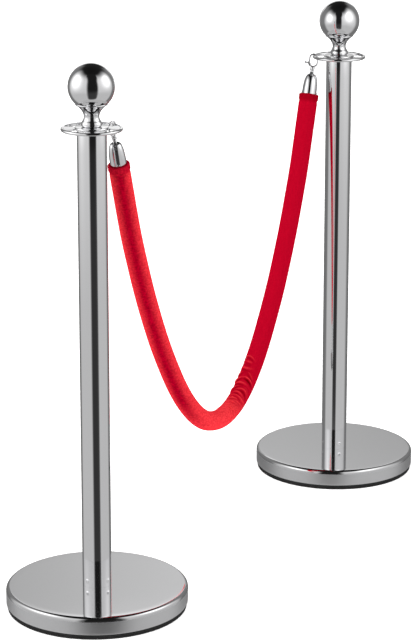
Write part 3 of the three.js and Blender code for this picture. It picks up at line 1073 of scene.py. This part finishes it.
def make_screen(name, plan, lowest, highest, paint):
    """A curved upright sheet over a line of plan points, which are metres to the camera's right and away from
    it, from post A. paint gives the glow and the cover at each plan point and height."""
    right, away = studio_axes()
    line = np.array(spline(plan, 16))
    levels = np.linspace(lowest, highest, 64)
    origin = post_axis("a")
    vertices = [origin + right * x + away * y + Vector((0, 0, z)) for z in levels for x, y in line]
    columns = len(line)
    faces = []
    for low in range(0, (len(levels) - 1) * columns, columns):
        for j in range(low, low + columns - 1):
            faces.append((j, j + 1, j + columns + 1, j + columns))
    obj = mesh_object(name, vertices, faces)
    x, z = np.meshgrid(line[:, 0], levels)
    y = np.broadcast_to(line[:, 1], z.shape)
    for attribute_name, values in zip(("glow", "cover"), paint(x, y, z)):
        write_attribute(obj, attribute_name, np.broadcast_to(values, z.shape))
    obj.data.materials.append(screen_material())
    only_reflected(obj)


def side_wall(core_height):
    """Paint for a wall of the light tent: an even glow that fades far behind the posts and high above them,
    with a bright core beside post A."""
    core_glow, core_width, core_span = 1.25, 0.66, 0.75

    def paint(x, y, z):
        off_centre = ((y + 0.1) / core_width) ** 2
        off_height = np.abs((z - core_height) / core_span) ** 2.8
        core = core_glow * np.exp(-off_centre - off_height)
        even = (0.54 - 0.36 * ramp(y, 0.62, 1.35)) * (1 + 0.2 * ramp(z, 0.1, 0.6))
        return even * (1 - 0.85 * ramp(z, 1.6, 4.2)) + core, 1 - ramp(z, 2.4, 4.4)

    return paint


def back_wall(x, y, z):
    """Paint for the backdrop, which the flat tops reflect: it brightens upwards and towards the middle."""
    glow = 0.24 + 0.22 * ramp(z, 0.1, 0.65) + 0.13 * ramp(z, 0.65, 1.1) + 0.45 * ramp(z, 1.25, 1.45)
    across = 0.8 + 0.3 * ramp(x, -0.4, 0.35) - 0.2 * ramp(x, 0.4, 1.2)
    return glow * across, 1 - ramp(z, 1.7, 2.2)


def front_flag(x, y, z):
    """Paint for the black flag before the posts, the dark stripe in every tube. It's wider above them."""
    wide = ramp(z, 1.5, 4.0)
    left, right = -0.42 - 0.7 * wide, 0.7 + 0.75 * wide
    soft = 0.14 + 0.2 * wide
    cover = ramp(x, left - soft, left + soft) * (1 - ramp(x, right - soft, right + soft))
    return 0.012, cover * (0.93 + 0.07 * ramp(z, 0.35, 0.8)) * ramp(z, -1.0, -0.4)


def back_flag(x, y, z):
    """Paint for a low black flag behind the posts, for a stripe in the tubes from behind."""
    return 0.02, 0.9 * ramp(x, 0.5, 0.7) * (1 - ramp(x, 1.2, 1.5)) * (1 - ramp(z, 0.2, 0.45))


# The screens' plans, in metres to the right of post A and away behind it, as the camera sees it.
LEFT_WALL = [(-0.35, -1.35), (-0.9, -1.1), (-1.28, -0.5), (-1.4, 0.3), (-1.4, 1.2), (-1.2, 2.0), (-0.7, 2.6)]
RIGHT_WALL = [(0.5, -1.3), (1.05, -1.05), (1.5, -0.5), (1.7, 0.3), (1.85, 1.2), (1.8, 2.0), (1.4, 2.6)]
BACK_WALL = [(-2.2, 2.8), (0.4, 2.8), (3.0, 2.8)]
FRONT_FLAG = [(-1.4, -1.109), (0.1, -1.109), (1.6, -1.109)]
BACK_FLAG = [(0.4, 2.6), (1.0, 2.6), (1.6, 2.6)]
# The room beyond the screens by the sine of the elevation: a pale floor below and a black ceiling.
ROOM = [(-1.0, 0.5), (-0.5, 0.42), (-0.2, 0.3), (0.0, 0.2), (0.2, 0.03), (1.0, 0.008)]


def make_world():
    """White for the camera, an even tent for matt surfaces, and the room for metal."""
    world = bpy.data.worlds.new("studio")
    world.use_nodes = True
    scene.world = world
    tree = world.node_tree
    tree.nodes.clear()
    names = ("TexCoord", "SeparateXYZ", "Math", "ValToRGB", "LightPath", "OutputWorld")
    direction, split, level, room_tone, ray, output = (tree.nodes.new(f"ShaderNode{name}") for name in names)
    room, tent, white = (tree.nodes.new("ShaderNodeBackground") for _ in range(3))
    matt, seen = (tree.nodes.new("ShaderNodeMixShader") for _ in range(2))
    # The ramp runs from 0 straight down to 1 straight up.
    level.operation = "MULTIPLY_ADD"
    level.inputs[1].default_value = 0.5
    level.inputs[2].default_value = 0.5
    white.inputs["Color"].default_value = (1, 1, 1, 1)
    tent.inputs["Color"].default_value = (0.45, 0.45, 0.45, 1)
    elements = room_tone.color_ramp.elements
    elements.remove(elements[1])
    lowest = ROOM[0][1]
    elements[0].position = 0
    elements[0].color = (lowest, lowest, lowest, 1)
    for height, value in ROOM[1:]:
        elements.new((height + 1) / 2).color = (value, value, value, 1)
    for source, target in (
        (direction.outputs["Generated"], split.inputs["Vector"]),
        (split.outputs["Z"], level.inputs[0]),
        (level.outputs["Value"], room_tone.inputs["Fac"]),
        (room_tone.outputs["Color"], room.inputs["Color"]),
        (ray.outputs["Is Diffuse Ray"], matt.inputs["Fac"]),
        (room.outputs["Background"], matt.inputs[1]),
        (tent.outputs["Background"], matt.inputs[2]),
        (ray.outputs["Is Camera Ray"], seen.inputs["Fac"]),
        (matt.outputs["Shader"], seen.inputs[1]),
        (white.outputs["Background"], seen.inputs[2]),
        (seen.outputs["Shader"], output.inputs["Surface"]),
    ):
        tree.links.new(source, target)


def make_floor():
    half = 40.0
    square = [(-half, -half, 0), (half, -half, 0), (half, half, 0), (-half, half, 0)]
    obj = mesh_object("floor", square, [(0, 1, 2, 3)])
    shader = Shader("floor_paper")
    shader.set(Base_Color=(0.9, 0.9, 0.9, 1), Roughness=1.0, Specular_IOR_Level=0.0)
    shader.set(Emission_Color=(1, 1, 1, 1), Emission_Strength=0.6)
    obj.data.materials.append(shader.material)
    obj.visible_glossy = False


def make_light(name, kind, energy, direction, **settings):
    """A soft light that shines along a direction and isn't itself reflected."""
    data = bpy.data.lights.new(name, kind)
    data.energy = energy
    for key, value in settings.items():
        setattr(data, key, value)
    light = bpy.data.objects.new(name, data)
    light.rotation_euler = Vector(direction).to_track_quat("-Z", "Y").to_euler()
    light.visible_glossy = False
    scene.collection.objects.link(light)


def make_studio():
    right, away = studio_axes()
    down = Vector((0, 0, -1))
    make_world()
    make_floor()
    make_screen("left_wall", LEFT_WALL, -1.2, 4.5, side_wall(1.55))
    make_screen("right_wall", RIGHT_WALL, -1.2, 4.5, side_wall(1.65))
    make_screen("back_wall", BACK_WALL, -1.2, 2.4, back_wall)
    make_screen("front_flag", FRONT_FLAG, -1.0, 4.0, front_flag)
    make_screen("back_flag", BACK_FLAG, -1.2, 0.5, back_flag)
    make_light("overhead", "SUN", 1.3, down, angle=math.radians(50))
    make_light("from_left", "SUN", 1.6, right + 0.5 * away + 0.45 * down, angle=math.radians(35))
    make_light("from_right", "SUN", 1.1, 0.6 * away - right + 0.35 * down, angle=math.radians(45))
    scene.view_settings.view_transform = "Standard"


# Everything

# The CAD nodes that keep their shape, with their looks.
CARRIED = {
    "top_stud": "plated",
    "stud_nut": "plated",
    "bottom_plug": "plated",
    "base_weight": "cement",
    "base_washer": "plated",
    "base_bolt": "plated",
    "rope_plug": "plastic",
}

make_camera()
rope, rope_points = make_rope()

cord_pieces = []
for end in ENDS:
    make_ball(end)
    make_neck(end)
    make_ring(end)
    make_tube(end)
    make_plug(end)
    make_cover(end)
    make_rubber(end)
    cord_pieces += [
        make_cap(end),
        make_rivet(end),
        make_clevis_pin(end),
        make_swivel_stud(end),
        make_hook(end),
        make_gate(end),
        make_gate_pin(end),
        make_gate_spring(end),
        frame["nodes"][f"rope_plug_{end}"],
    ]

for name, look in CARRIED.items():
    for end in ENDS:
        wear(frame["nodes"][f"{name}_{end}"], look)

make_studio()
